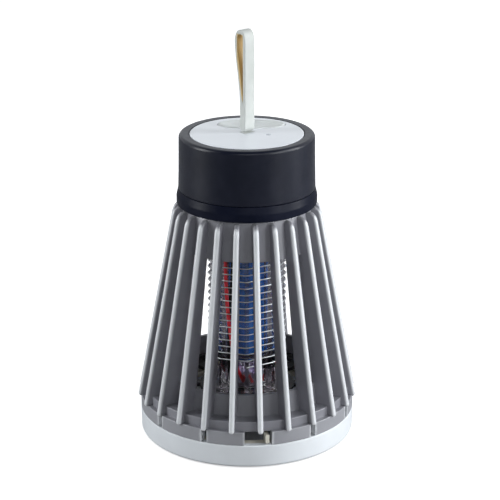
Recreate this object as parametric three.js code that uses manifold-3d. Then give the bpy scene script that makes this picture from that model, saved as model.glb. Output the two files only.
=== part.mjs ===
// Rechargeable camping bug zapper: a conical fin cage round a high-voltage coil, under a black
// electronics head with a silicone hanging strap, standing on a lift-off insect tray.
// Millimetres, Z up, front of the object towards -Y. Azimuths are degrees from the front,
// counted towards +X, and every revolved piece turns about the Z axis.

import * as THREE from 'three';
import { mergeVertices } from 'three/addons/utils/BufferGeometryUtils.js';
import Module from 'manifold-3d';

const wasm = await Module();
wasm.setup();

// ---------- driving dimensions ----------

const GAP = 0.3;                 // clearance between pieces that touch
const TRAY_RADIUS = 45;          // the widest round of the base
const TRAY_TOP = 10.3;
const SEAT = 0.15;               // clearance where the cage stands on the tray rim

const FIN_COUNT = 24;
const FIN_THICKNESS = 2.3;
const FIN_FOOT = 15.6;           // height of the fins' lower ends
const FIN_SLOPE = 0.1906;        // radius lost per mm of height along the fins' outer edges
const FIN_NECK = { radius: 31.0, z: 96.2 };
const FIN_HEAD = 98.9;           // height of the fins' upper ends, where they curve into the wall

const WALL = 1.8;                // thickness of the cage's conical wall
const WALL_SLOPE = 0.1376;
const WINDOW = { bottom: 28.7, top: 83.2 };
const WALL_AT_WINDOW_TOP = 28.5;
const CAGE_TOP = 99.7;
const CAGE_BORE = 20.2;
const STEP = { radius: 42.9, skirt: 41.1, bottom: 14.9, top: 20.0, shelf: 33.6, ledge: 17.6 };

const BLOCK = { inner: 41.6, outer: 44.9, top: 16.2, count: 12 };
const SLOT_HALF_ANGLE = 1.5;     // half of each slot between skirt blocks
const FRONT_GAP = { from: -0.9, to: 13.7 };

const LEDGE = { inner: 40.1, bottom: 10.7, top: 12.4, from: 55, to: 69.5 };
const LOCK = { inner: 38.4, outer: 41.7, bottom: 7.7, top: 10.0 };
const HOOK = { azimuth: 75, half: 4.2, post: 39.7, reach: 41.2, bottom: 12.8, top: 14.5 };
const TAB_AZIMUTH = 11.4;

const FLOOR = { bottom: 17.9, top: 19.5, radius: 35.0, bore: 8 };
const FLOOR_RIM = { inner: 32.6, outer: 34.0, top: 20.8 };
const FLOOR_DROP = { inner: 20, outer: 31.5, half: 17, count: 8 };

const FORMER = { bottom: 19.8, top: 89.5, bore: 10, tube: 11.2, flange: 17.5, foot: 1.4, head: 2 };
const RIB = { radius: 15.8, width: 1.6, count: 8 };
const FORMER_SEAT = { bottom: 33.5, top: 34.6, inner: 7.5 };
const COIL = { radius: 16.45, wire: 0.32, bottom: 32.6, pitch: 5.8, turns: 8.75, sides: 8 };

const CELL = { radius: 9.2, bottom: 35.4, length: 65, nub: 2.9, nubHeight: 0.9 };

const HEAD = { bottom: 100.0, seam: 106.5, top: 129.2, rim: 27.7, wall: 2 };
const LIP = { inner: 23.4, outer: 24.7, top: 109 };
const PLATE = { radius: 23.3, bottom: 127.4 };
const PCB = { radius: 25, bottom: 111.6, top: 113.2 };

const HEAD_SCREW = { radius: 22.4, azimuths: [90, 210, 330] };
const PCB_SCREW = { radius: 19.5, azimuths: [30, 150, 270] };
const FORMER_SCREW = { radius: 14.0, azimuths: [22.5, 157.5, 292.5] };

const STRAP = { x: 0.15, y: 2.0, turn: -50, width: 5.1, half: 1.7, axis: 131.2, top: 171.4 };
const BUTTON = { x: 1.8, y: 12.9, rx: 13.9, ry: 6.4, squareness: 2.4, top: 129.5, flange: 125.9 };
const LENS = { x: 8.6, y: -2.2, radius: 1.0, bottom: 114.9 };
const COVER = { half: 11.4, outer: 27.95, inner: 26.6, bottom: 111.5, top: 118.8 };
const PORT = { halfWidth: 5.9, bottom: 110.9, top: 119.2 };
const WIRE_WAY = { azimuth: -33, radius: 13.6, bore: 2.8 };
const DOORWAY = { azimuth: -24, width: 7.6, depth: 5, radius: 10.5 };
const LEAD_RADIUS = 15.2;

const LED = { base: 22.8, radius: 5.2, count: 4 };
const LED_BOARD = { radius: 9.5, bottom: 21.5, top: 22.7 };
const TRANSFORMER = { x: -9, y: -9, core: [13, 7, 10.3], coil: [9, 11.5, 9.8] };
const CAPACITOR = { x: 1.5, y: -18, width: 8, depth: 4.5, height: 8.3 };
const SWITCH = { side: 6, height: 3.7, plunger: 1.7, plungerTop: 118.2 };

// ---------- finishes ----------

function finish(colour, roughness, metalness = 0) {
  return new THREE.MeshStandardMaterial({ color: colour, roughness, metalness });
}

const WHITE_PLASTIC = finish(0xe4e5e6, 0.35);
const GREY_PLASTIC = finish(0xa19f9e, 0.5);
const BLACK_PLASTIC = finish(0x0f131c, 0.35);
const DARK_PLASTIC = finish(0x1b1b1e, 0.6);
const CREAM_PLASTIC = finish(0xe6e2d3, 0.45);
const SILICONE = finish(0xdfe2e0, 0.6);
const RUBBER = finish(0x8f9194, 0.8);
const CLEAR_PLASTIC = finish(0xdde3e6, 0.08);
const STEEL = finish(0xb9bcc0, 0.3, 1);
const NICKEL = finish(0xc4c2b8, 0.35, 1);
const CELL_WRAP = finish(0x1c4fc4, 0.3);
const BOARD_GREEN = finish(0x1e6a3c, 0.5);
const RED_WIRE = finish(0xb3202a, 0.5);
const BLACK_WIRE = finish(0x111114, 0.5);
const AMBER = finish(0xb98a2c, 0.45);
const UV_LENS = finish(0xb9a8e6, 0.1);

// ---------- helpers ----------

const rad = THREE.MathUtils.degToRad;
const wallRadius = z => WALL_AT_WINDOW_TOP + (WINDOW.top - z) * WALL_SLOPE;
const finRadius = z => FIN_NECK.radius + (FIN_NECK.z - z) * FIN_SLOPE;

function polar(radius, azimuth, z = 0) {
  return [radius * Math.sin(rad(azimuth)), -radius * Math.cos(rad(azimuth)), z];
}

// A revolved solid. The profile runs anticlockwise in (radius, z); a ring's closes on itself.
function revolve(profile, segments) {
  const points = profile.map(([r, z]) => new THREE.Vector2(r, z));
  const touchesAxis = profile[0][0] === 0;
  if (!touchesAxis) points.push(points[0].clone());
  return new THREE.LatheGeometry(points, segments).rotateX(Math.PI / 2);
}

function ring(inner, outer, bottom, top, segments) {
  return revolve([[inner, bottom], [outer, bottom], [outer, top], [inner, top]], segments);
}

function disc(radius, bottom, top, segments, x = 0, y = 0) {
  const geometry = new THREE.CylinderGeometry(radius, radius, top - bottom, segments);
  return geometry.rotateX(Math.PI / 2).translate(x, y, (bottom + top) / 2);
}

function block(width, depth, bottom, top, x = 0, y = 0) {
  return new THREE.BoxGeometry(width, depth, top - bottom).translate(x, y, (bottom + top) / 2);
}

function raise(shape, bottom, top, curveSegments = 12) {
  const options = { depth: top - bottom, bevelEnabled: false, curveSegments };
  return new THREE.ExtrudeGeometry(shape, options).translate(0, 0, bottom);
}

// Part of a ring between two azimuths.
function sector(inner, outer, from, to, bottom, top, curveSegments = 4) {
  const start = rad(from - 90);
  const end = rad(to - 90);
  const shape = new THREE.Shape();
  shape.absarc(0, 0, outer, start, end, false);
  shape.absarc(0, 0, inner, end, start, true);
  return raise(shape, bottom, top, curveSegments);
}

function ellipsePoints(x, y, rx, ry, squareness, count) {
  const power = 2 / squareness;
  return Array.from({ length: count }, (_, i) => {
    const angle = 2 * Math.PI * i / count;
    const c = Math.cos(angle);
    const s = Math.sin(angle);
    const px = x + rx * Math.sign(c) * Math.abs(c) ** power;
    const py = y + ry * Math.sign(s) * Math.abs(s) ** power;
    return new THREE.Vector2(px, py);
  });
}

function tube(points, radius, steps, sides = 6) {
  const shape = new THREE.Shape();
  shape.absarc(0, 0, radius, 0, 2 * Math.PI, false);
  const corners = points.map(p => new THREE.Vector3(...p));
  const path = new THREE.CatmullRomCurve3(corners, false, 'centripetal');
  const options = { extrudePath: path, steps, bevelEnabled: false, curveSegments: sides / 2 };
  return new THREE.ExtrudeGeometry(shape, options);
}

// A wire of straight runs between bends, with one ring of points at each bend.
function polylineTube(points, radius) {
  const corners = points.map(p => new THREE.Vector3(...p));
  const path = new THREE.CurvePath();
  for (let i = 1; i < corners.length; i += 1) path.add(new THREE.LineCurve3(corners[i - 1], corners[i]));
  const shape = new THREE.Shape();
  shape.absarc(0, 0, radius, 0, 2 * Math.PI, false);
  const steps = corners.length - 1;
  const options = { extrudePath: path, steps, bevelEnabled: false, curveSegments: 3 };
  return new THREE.ExtrudeGeometry(shape, options);
}

// One disc at each azimuth of a pattern such as a set of screws.
function discsAt(pattern, radius, bottom, top, segments) {
  return pattern.azimuths.map(azimuth => {
    const [x, y] = polar(pattern.radius, azimuth);
    return disc(radius, bottom, top, segments, x, y);
  });
}

// A closed geometry as a solid that can be joined and cut.
function solid(geometry) {
  geometry.deleteAttribute('normal');
  geometry.deleteAttribute('uv');
  const merged = mergeVertices(geometry, 1e-4);
  const index = merged.index.array;
  const kept = [];
  for (let i = 0; i < index.length; i += 3) {
    const [a, b, c] = [index[i], index[i + 1], index[i + 2]];
    if (a !== b && b !== c && c !== a) kept.push(a, b, c);
  }
  const vertProperties = new Float32Array(merged.attributes.position.array);
  const triVerts = new Uint32Array(kept);
  return new wasm.Manifold(new wasm.Mesh({ numProp: 3, vertProperties, triVerts }));
}

function shapeOf(manifold) {
  const result = manifold.getMesh();
  const geometry = new THREE.BufferGeometry();
  geometry.setAttribute('position', new THREE.BufferAttribute(result.vertProperties, 3));
  geometry.setIndex(new THREE.BufferAttribute(result.triVerts, 1));
  geometry.computeVertexNormals();
  return geometry;
}

// First joins the geometries of one list, then cuts away those of the other.
function build(joined, removed = []) {
  let body = solid(joined[0]);
  for (const geometry of joined.slice(1)) body = body.add(solid(geometry));
  for (const geometry of removed) body = body.subtract(solid(geometry));
  return shapeOf(body);
}

const zapper = new THREE.Group();

function place(name, geometry, material) {
  const mesh = new THREE.Mesh(geometry, material);
  mesh.name = name;
  zapper.add(mesh);
  return mesh;
}

// ---------- base: tray, foot ring, lock ring ----------

function baseTray() {
  const profile = [
    [0, 0.6], [35.7, 0.6], [35.7, 1.7], [41.3, 1.7], [41.3, 0.6], [43.4, 0.6], [44.5, 1.2],
    [44.9, 2.4], [TRAY_RADIUS, 9.9], [44.6, TRAY_TOP], [42.0, TRAY_TOP], [42.0, 7.4],
    [40.6, 7.4], [40.2, 3.4], [39.2, 2.4], [0, 2.4],
  ];
  return build([revolve(profile, 48)]);
}

function lockRing() {
  const pieces = [ring(LOCK.inner, LOCK.outer, LOCK.bottom, LOCK.top, 40)];
  for (let turn = 0; turn < 360; turn += 120) {
    const from = HOOK.azimuth + turn - HOOK.half;
    const to = HOOK.azimuth + turn + HOOK.half;
    pieces.push(sector(LOCK.inner, HOOK.post, from, to, LOCK.top - 1, HOOK.top));
    pieces.push(sector(LOCK.inner, HOOK.reach, from, to, HOOK.bottom, HOOK.top));
  }
  const post = block(1.5, 2.6, LOCK.top - 1, HOOK.top, 0, -40.4);
  const thumb = block(1.5, 3.6, TRAY_TOP + 0.4, HOOK.top, 0, -42.3);
  pieces.push(post.rotateZ(rad(TAB_AZIMUTH)), thumb.rotateZ(rad(TAB_AZIMUTH)));
  return build(pieces);
}

// ---------- fin cage ----------

function finOutline() {
  const straightTop = FIN_NECK.z - 2;
  const footRound = 1.6;
  const outline = new THREE.Shape();
  const inner = z => wallRadius(z) - WALL + 0.05;
  outline.moveTo(inner(FIN_FOOT), FIN_FOOT);
  outline.lineTo(finRadius(FIN_FOOT) - footRound, FIN_FOOT);
  const roundTop = FIN_FOOT + footRound;
  outline.quadraticCurveTo(finRadius(FIN_FOOT), FIN_FOOT, finRadius(roundTop), roundTop);
  outline.lineTo(finRadius(straightTop), straightTop);
  outline.quadraticCurveTo(30.7, 98.3, 28.2, FIN_HEAD);
  outline.lineTo(inner(FIN_HEAD), FIN_HEAD);
  return outline;
}

function fin(azimuth) {
  const blade = raise(finOutline(), -FIN_THICKNESS / 2, FIN_THICKNESS / 2, 3);
  return blade.rotateX(Math.PI / 2).rotateZ(rad(azimuth - 90));
}

function upperCone() {
  return revolve([
    [wallRadius(WINDOW.top) - WALL, WINDOW.top], [wallRadius(WINDOW.top), WINDOW.top],
    [wallRadius(CAGE_TOP), CAGE_TOP], [CAGE_BORE, CAGE_TOP], [CAGE_BORE, CAGE_TOP - WALL],
    [wallRadius(CAGE_TOP - WALL) - WALL, CAGE_TOP - WALL],
  ], 48);
}

function lowerRing() {
  const foot = STEP.bottom + 0.9;
  const inner = z => wallRadius(z) - WALL;
  return revolve([
    [STEP.shelf, foot], [STEP.skirt, foot], [STEP.skirt, STEP.bottom], [STEP.radius, STEP.bottom],
    [STEP.radius, STEP.top - 0.4], [STEP.radius - 0.4, STEP.top], [wallRadius(STEP.top), STEP.top],
    [wallRadius(WINDOW.bottom), WINDOW.bottom], [inner(WINDOW.bottom), WINDOW.bottom],
    [inner(STEP.ledge), STEP.ledge], [STEP.shelf, STEP.ledge],
  ], 48);
}

function skirtBlock(index) {
  const pitch = 360 / BLOCK.count;
  const firstSlot = 7.5;
  const leftSlot = firstSlot + (index - 1) * pitch;
  const from = index === 1 ? FRONT_GAP.to : leftSlot + SLOT_HALF_ANGLE;
  const to = index === 0 ? FRONT_GAP.from : leftSlot + pitch - SLOT_HALF_ANGLE;
  return sector(BLOCK.inner, BLOCK.outer, from, to, TRAY_TOP + SEAT, BLOCK.top, 4);
}

function finCage() {
  const pieces = [upperCone(), lowerRing()];
  for (let i = 0; i < FIN_COUNT; i += 1) pieces.push(fin(7.5 + i * 360 / FIN_COUNT));
  for (let i = 0; i < BLOCK.count; i += 1) pieces.push(skirtBlock(i));
  for (let turn = 0; turn < 360; turn += 120) {
    const { inner, bottom, top, from, to } = LEDGE;
    pieces.push(sector(inner, BLOCK.inner + 0.6, from + turn, to + turn, bottom, top, 3));
  }
  return build(pieces, discsAt(HEAD_SCREW, 1.7, CAGE_TOP - WALL - 1, CAGE_TOP + 1, 10));
}

function cageFloor() {
  const { bottom, top, radius, bore } = FLOOR;
  const rim = FLOOR_RIM;
  const plate = revolve([
    [bore, bottom], [radius, bottom], [radius, top], [rim.outer, top], [rim.outer, rim.top],
    [rim.inner, rim.top], [rim.inner, top], [bore, top],
  ], 40);
  const holes = [];
  const { inner, outer, half, count } = FLOOR_DROP;
  for (let i = 0; i < count; i += 1) {
    const middle = 360 / count * (i + 0.5);
    holes.push(sector(inner, outer, middle - half, middle + half, bottom - 1, top + 1, 6));
  }
  return build([plate], [...holes, ...discsAt(FORMER_SCREW, 1.6, bottom - 1, top + 1, 10)]);
}

// ---------- coil, cell and lamps ----------

function coilFormer() {
  const { bottom, top, bore, tube: tubeRadius, flange, foot, head } = FORMER;
  const core = revolve([
    [bore - 1.6, bottom], [flange, bottom], [flange, bottom + foot], [tubeRadius, bottom + foot],
    [tubeRadius, top - head], [flange, top - head], [flange, top], [bore, top],
    [bore, FORMER_SEAT.top], [FORMER_SEAT.inner, FORMER_SEAT.top],
    [FORMER_SEAT.inner, FORMER_SEAT.bottom], [bore, FORMER_SEAT.bottom],
    [bore, bottom + foot], [bore - 1.6, bottom + foot],
  ], 32);
  const depth = RIB.radius - bore - 0.4;
  const ribs = Array.from({ length: RIB.count }, (_, i) => {
    const slab = block(RIB.width, depth, bottom + 0.5, top - 0.5, 0, -(RIB.radius - depth / 2));
    return slab.rotateZ(2 * Math.PI * i / RIB.count);
  });
  const bosses = discsAt(FORMER_SCREW, 2.1, bottom + 0.5, bottom + 6, 12);
  const screwHoles = discsAt(FORMER_SCREW, 1.3, bottom - 1, bottom + 5.2, 10);
  const [wayX, wayY] = polar(WIRE_WAY.radius, WIRE_WAY.azimuth);
  const wireWay = disc(WIRE_WAY.bore, top - 4, top + 1, 16, wayX, wayY);
  const { width, depth: reach, radius, azimuth } = DOORWAY;
  const doorway = block(width, reach, bottom + foot + 0.3, FORMER_SEAT.bottom - 2, 0, -radius);
  doorway.rotateZ(rad(azimuth));
  const leads = [-1, 1].map(side => disc(1.0, top - 3, top + 1, 10, side * LEAD_RADIUS, 0));
  return build([core, ...ribs, ...bosses], [...screwHoles, wireWay, doorway, ...leads]);
}

function gridWire(startAzimuth) {
  const { radius, bottom, pitch, turns, sides } = COIL;
  const count = Math.round(turns * sides);
  const points = Array.from({ length: count + 1 }, (_, i) => {
    const turn = i / sides;
    return polar(radius, startAzimuth + 360 * turn, bottom + pitch * turn);
  });
  return polylineTube(points, COIL.wire);
}

function batteryCell() {
  const { radius, bottom, length, nub, nubHeight } = CELL;
  const top = bottom + length;
  return build([revolve([
    [0, bottom], [radius - 0.4, bottom], [radius, bottom + 0.4], [radius, top - nubHeight - 0.4],
    [radius - 0.4, top - nubHeight], [nub, top - nubHeight], [nub, top], [0, top],
  ], 32)]);
}

function uvLed() {
  const dome = revolve([
    [0, 3.4], [2.9, 3.4], [2.9, 4.4], [2.5, 4.4], [2.5, 6.6], [2.1, 8.0], [1.2, 8.8], [0, 9.1],
  ], 12);
  const legs = [-1.27, 1.27].map(x => block(0.5, 0.5, 0.2, 3.8, x, 0));
  return build([dome, ...legs]);
}

// ---------- head ----------

function headBase() {
  const { bottom, seam } = HEAD;
  const tubeInner = FORMER.flange + 0.4;
  const tubeOuter = tubeInner + 1.5;
  const floorTop = bottom + 2.4;
  const body = revolve([
    [FORMER.bore + 0.3, bottom], [tubeInner, bottom], [tubeInner, 86.5], [tubeOuter, 86.5],
    [tubeOuter, bottom], [28.6, bottom], [29.0, bottom + 0.5], [28.9, bottom + 3.6],
    [28.55, bottom + 5.2], [28.2, seam - 0.1], [LIP.outer, seam - 0.1], [LIP.outer, LIP.top],
    [LIP.inner, LIP.top], [LIP.inner, floorTop], [FORMER.bore + 0.3, floorTop],
  ], 40);
  const bosses = [
    ...discsAt(HEAD_SCREW, 2.5, bottom + 1, LIP.top - 0.5, 14),
    ...discsAt(PCB_SCREW, 2.4, bottom + 1, PCB.bottom - GAP, 14),
  ];
  const [wayX, wayY] = polar(WIRE_WAY.radius, WIRE_WAY.azimuth);
  const holes = [
    ...discsAt(HEAD_SCREW, 1.5, bottom - 1, LIP.top - 1.7, 10),
    ...discsAt(PCB_SCREW, 1.4, bottom + 4, PCB.bottom + 1, 10),
    disc(WIRE_WAY.bore, bottom - 1, floorTop + 1, 16, wayX, wayY),
    ...[-1, 1].map(side => disc(1.1, bottom - 1, floorTop + 1, 10, side * LEAD_RADIUS, 0)),
  ];
  return build([body, ...bosses], holes);
}

function headShell() {
  const { seam, top, rim, wall } = HEAD;
  const bore = 28.0 - wall;
  const shelf = PLATE.bottom - GAP;
  const recess = PLATE.radius + GAP;
  const body = revolve([
    [bore, seam + 0.1], [28.16, seam + 0.1], [27.94, 115.5], [27.8, 126.6], [rim, 127.7],
    [rim - 0.6, 128.8], [rim - 1.5, top], [recess + 0.3, top], [recess, top - 0.3], [recess, shelf],
    [22.4, shelf], [22.4, shelf - 1.6], [bore, shelf - 1.6],
  ], 48);
  const port = block(2 * PORT.halfWidth, 6, PORT.bottom, PORT.top, 0, 27);
  return build([body], [port]);
}

function topPlate() {
  const shape = new THREE.Shape();
  shape.absarc(0, 0, PLATE.radius, 0, 2 * Math.PI, false);
  const { x, y, rx, ry, squareness } = BUTTON;
  const oval = ellipsePoints(x, y, rx + GAP, ry + GAP, squareness, 40);
  shape.holes.push(new THREE.Path(oval.reverse()));
  const halfWidth = STRAP.width / 2 + SEAT;
  const halfDepth = STRAP.half + SEAT;
  const centre = new THREE.Vector2(STRAP.x, STRAP.y);
  const corners = [[1, 1], [1, -1], [-1, -1], [-1, 1]].map(([i, j]) => {
    const corner = new THREE.Vector2(i * halfDepth, j * halfWidth).add(centre);
    return corner.rotateAround(centre, rad(STRAP.turn));
  });
  shape.holes.push(new THREE.Path(corners));
  const lens = new THREE.Path();
  lens.absarc(LENS.x, LENS.y, LENS.radius + 0.2, 0, 2 * Math.PI, true);
  shape.holes.push(lens);
  return build([raise(shape, PLATE.bottom, HEAD.top, 24)]);
}

function powerButton() {
  const { x, y, rx, ry, squareness, top, flange } = BUTTON;
  const cap = new THREE.Shape(ellipsePoints(x, y, rx, ry, squareness, 40));
  const collar = new THREE.Shape(ellipsePoints(x, y, rx + 1.3, ry - 0.4, 2, 32));
  const stem = disc(2.0, 119.3, flange + 0.5, 14, x, y);
  return build([raise(cap, flange + 0.2, top), raise(collar, flange, PLATE.bottom - GAP), stem]);
}

function usbCover() {
  const { half, outer, inner, bottom, top } = COVER;
  const flap = sector(inner, outer, 180 - half, 180 + half, bottom, top, 8);
  const nib = block(6.4, 1.2, 114.0, 116.1, 0, 26.3);
  return build([flap, nib]);
}

function usbSocket() {
  const body = block(9, 7.2, PCB.top + 0.2, PCB.top + 3.5, 0, 21.9);
  const mouth = block(8.2, 6, PCB.top + 0.55, PCB.top + 3.15, 0, 23.4);
  return build([body], [mouth]);
}

// ---------- strap ----------

// The loop's outline in (depth, z): two bands that meet in a stem, the rear one bowed out.
function hangStrap() {
  const { half, axis, top } = STRAP;
  const outline = new THREE.Shape();
  outline.moveTo(half, axis);
  outline.lineTo(half, top - 5.6);
  outline.bezierCurveTo(half, top - 1.6, 0.5, top, -1.5, top);
  outline.bezierCurveTo(-3.7, top, -4.95, top - 2.0, -4.95, top - 5.2);
  outline.bezierCurveTo(-4.95, top - 13, -half, top - 22, -half, top - 33);
  outline.lineTo(-half, axis);
  outline.absarc(0, axis, half, Math.PI, 2 * Math.PI, false);
  const hole = new THREE.Path();
  hole.moveTo(0.15, 142);
  hole.bezierCurveTo(-0.5, 152, -3.25, 160, -3.25, top - 5.4);
  hole.bezierCurveTo(-3.25, top - 2.9, -2.7, top - 1.75, -1.6, top - 1.75);
  hole.bezierCurveTo(-0.5, top - 1.75, 0.05, top - 3.0, 0.05, top - 5.8);
  outline.holes.push(hole);
  const { width, turn, x, y } = STRAP;
  const band = raise(outline, -width / 2, width / 2, 7);
  return build([band.rotateX(Math.PI / 2).rotateZ(rad(turn)).translate(x, y, 0)]);
}

function strapFoot() {
  const stem = block(2 * STRAP.half, STRAP.width, PLATE.bottom - 1.2, HEAD.top - 0.1);
  const flange = block(5.9, 6.75, PLATE.bottom - 1.9, PLATE.bottom - GAP, 1.25, -0.82);
  const foot = build([stem, flange]);
  return foot.rotateZ(rad(STRAP.turn)).translate(STRAP.x, STRAP.y, 0);
}

// ---------- fasteners, contacts and wiring ----------

// A pan-head screw whose head's flat side is at z = 0 and whose shank points up.
function screw(headRadius, shankRadius, length) {
  return build([revolve([
    [0, -1.6], [headRadius * 0.7, -1.6], [headRadius, -1.0], [headRadius, 0],
    [shankRadius, 0], [shankRadius, length - 0.8], [0, length],
  ], 10)]);
}

function placeScrews(name, pattern, z, pointsUp, size) {
  pattern.azimuths.forEach((azimuth, i) => {
    const mesh = place(`${name}_${i + 1}`, screw(...size), STEEL);
    mesh.position.set(...polar(pattern.radius, azimuth, z));
    if (!pointsUp) mesh.rotation.x = Math.PI;
  });
}

// The tab that a grid wire's upper end is soldered under.
function terminal(side) {
  const wireTop = COIL.bottom + COIL.pitch * COIL.turns + COIL.wire;
  return block(0.8, 2.4, wireTop + GAP, FORMER.top - FORMER.head - GAP, side * (COIL.radius + 0.05), 0);
}

function hvLead(side) {
  return disc(0.55, FORMER.top - 1.7, PCB.bottom - GAP, 8, side * LEAD_RADIUS, 0);
}

function batteryTab() {
  const top = CELL.bottom + CELL.length;
  const foot = block(4, 4.4, top + 0.2, top + 0.6, 0, 0);
  const riser = block(4, 0.4, top + 0.2, PCB.bottom - 0.3, 0, 2.2);
  return build([foot, riser]);
}

const RED_ROUTE = [
  polar(14.0, -39, 111.2), polar(14.0, -38.5, 100), polar(14.1, -38, 88), polar(14.1, -37.5, 72),
  polar(14.1, -35, 60), polar(14.0, -30, 48), polar(13.6, -24, 38), polar(12.6, -18, 30),
  polar(10.2, -14, 26.6), polar(8.0, -12, 23.7),
];
const BLACK_ROUTE = [
  polar(12.8, -27, 111.2), polar(12.6, -28, 100), polar(12.3, -27, 88), polar(12.3, -29, 72),
  polar(12.2, -34, 60), polar(12.2, -37, 48), polar(12.2, -38, 38), polar(11.8, -38, 30.5),
  polar(9.8, -37.5, 26.8), polar(8.0, -41, 23.7),
];

// ---------- electronics ----------

function mainBoard() {
  const holes = discsAt(PCB_SCREW, 1.4, PCB.bottom - 1, PCB.top + 1, 10);
  return build([disc(PCB.radius, PCB.bottom, PCB.top, 48)], holes);
}

function transformer() {
  const { x, y, core, coil } = TRANSFORMER;
  return build([
    block(core[0], core[1], PCB.top + GAP, PCB.top + core[2], x, y),
    block(coil[0], coil[1], PCB.top + 0.8, PCB.top + coil[2], x, y),
  ]);
}

function capacitor() {
  const { x, y, width, depth, height } = CAPACITOR;
  return block(width, depth, PCB.top + GAP, PCB.top + height, x, y);
}

function tactSwitch() {
  const { side, height, plunger, plungerTop } = SWITCH;
  return build([
    block(side, side, PCB.top + 0.2, PCB.top + height, BUTTON.x, BUTTON.y),
    disc(plunger, PCB.top + height - 0.7, plungerTop, 14, BUTTON.x, BUTTON.y),
  ]);
}

function indicatorLens() {
  return disc(LENS.radius, LENS.bottom, HEAD.top - 0.1, 16, LENS.x, LENS.y);
}

// ---------- assembly ----------

place('base_tray', baseTray(), WHITE_PLASTIC);
place('foot_ring', ring(36, 41, 0, 1.4, 40), RUBBER);
place('lock_ring', lockRing(), CREAM_PLASTIC);
place('fin_cage', finCage(), GREY_PLASTIC);
place('cage_floor', cageFloor(), DARK_PLASTIC);

place('coil_former', coilFormer(), CLEAR_PLASTIC);
place('grid_wire_a', gridWire(0), STEEL);
place('grid_wire_b', gridWire(180), STEEL);
place('grid_terminal_a', terminal(-1), NICKEL);
place('grid_terminal_b', terminal(1), NICKEL);
place('hv_lead_a', hvLead(-1), BLACK_WIRE);
place('hv_lead_b', hvLead(1), BLACK_WIRE);

place('battery_cell', batteryCell(), CELL_WRAP);
place('battery_tab_positive', batteryTab(), NICKEL);
place('battery_tab_negative', block(7, 5, 34.8, 35.2), NICKEL);
place('wire_red', tube(RED_ROUTE, 0.75, 28), RED_WIRE);
place('wire_black', tube(BLACK_ROUTE, 0.7, 28), BLACK_WIRE);

place('uv_led_board', disc(LED_BOARD.radius, LED_BOARD.bottom, LED_BOARD.top, 32), BOARD_GREEN);
for (let i = 0; i < LED.count; i += 1) {
  const led = place(`uv_led_${i + 1}`, uvLed(), UV_LENS);
  led.position.set(...polar(LED.radius, 45 + 90 * i, LED.base));
}

place('head_base', headBase(), BLACK_PLASTIC);
place('head_shell', headShell(), BLACK_PLASTIC);
place('head_seal', ring(24.95, 25.6, 106.9, 108.3, 40), RUBBER);
place('top_plate', topPlate(), WHITE_PLASTIC);
place('power_button', powerButton(), SILICONE);
place('hang_strap', hangStrap(), SILICONE);
place('strap_foot', strapFoot(), SILICONE);
place('indicator_lens', indicatorLens(), CLEAR_PLASTIC);

place('main_pcb', mainBoard(), BOARD_GREEN);
place('hv_transformer', transformer(), AMBER);
place('hv_capacitor', capacitor(), AMBER);
place('tact_switch', tactSwitch(), BLACK_PLASTIC);
place('indicator_led', block(2, 1.4, PCB.top + 0.2, PCB.top + 1.3, LENS.x, LENS.y), UV_LENS);
place('usb_socket', usbSocket(), STEEL);
place('usb_cover', usbCover(), RUBBER);

placeScrews('head_screw', HEAD_SCREW, CAGE_TOP - WALL - 0.2, true, [2.2, 1.2, 8.6]);
placeScrews('pcb_screw', PCB_SCREW, PCB.top + 0.2, false, [2.2, 1.1, 7.5]);
placeScrews('former_screw', FORMER_SCREW, FLOOR.bottom - 0.2, true, [2.2, 1.0, 6.4]);

export default zapper;
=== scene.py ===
"""Looks for a rechargeable camping bug zapper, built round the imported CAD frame.

Lengths are millimetres and azimuths are degrees from the front (-Y) towards +X, until a mesh is made:
solid_from() and friends turn millimetres into Blender's metres.
"""

import math

import bmesh
import bpy
from mathutils import Matrix, Vector


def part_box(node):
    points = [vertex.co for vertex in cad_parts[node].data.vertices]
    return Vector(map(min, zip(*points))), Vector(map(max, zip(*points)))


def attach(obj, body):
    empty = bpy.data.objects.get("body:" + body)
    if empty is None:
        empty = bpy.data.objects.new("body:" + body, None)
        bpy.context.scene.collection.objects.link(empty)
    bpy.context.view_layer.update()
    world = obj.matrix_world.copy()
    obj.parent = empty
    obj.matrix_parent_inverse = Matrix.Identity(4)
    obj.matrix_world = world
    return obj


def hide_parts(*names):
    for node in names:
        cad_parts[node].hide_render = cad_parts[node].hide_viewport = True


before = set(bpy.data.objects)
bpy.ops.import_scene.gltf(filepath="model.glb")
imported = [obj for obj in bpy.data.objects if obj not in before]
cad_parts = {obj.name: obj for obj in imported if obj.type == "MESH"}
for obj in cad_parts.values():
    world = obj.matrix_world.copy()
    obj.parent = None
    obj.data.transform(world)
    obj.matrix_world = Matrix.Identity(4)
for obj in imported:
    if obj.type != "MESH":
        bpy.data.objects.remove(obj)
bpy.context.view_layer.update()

MM = 0.001
SEGMENTS = 192  # steps in a turned piece


def node_box(node):
    """(lowest corner, highest corner) of a CAD node, in millimetres."""
    low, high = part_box(node)
    return low / MM, high / MM


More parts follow.
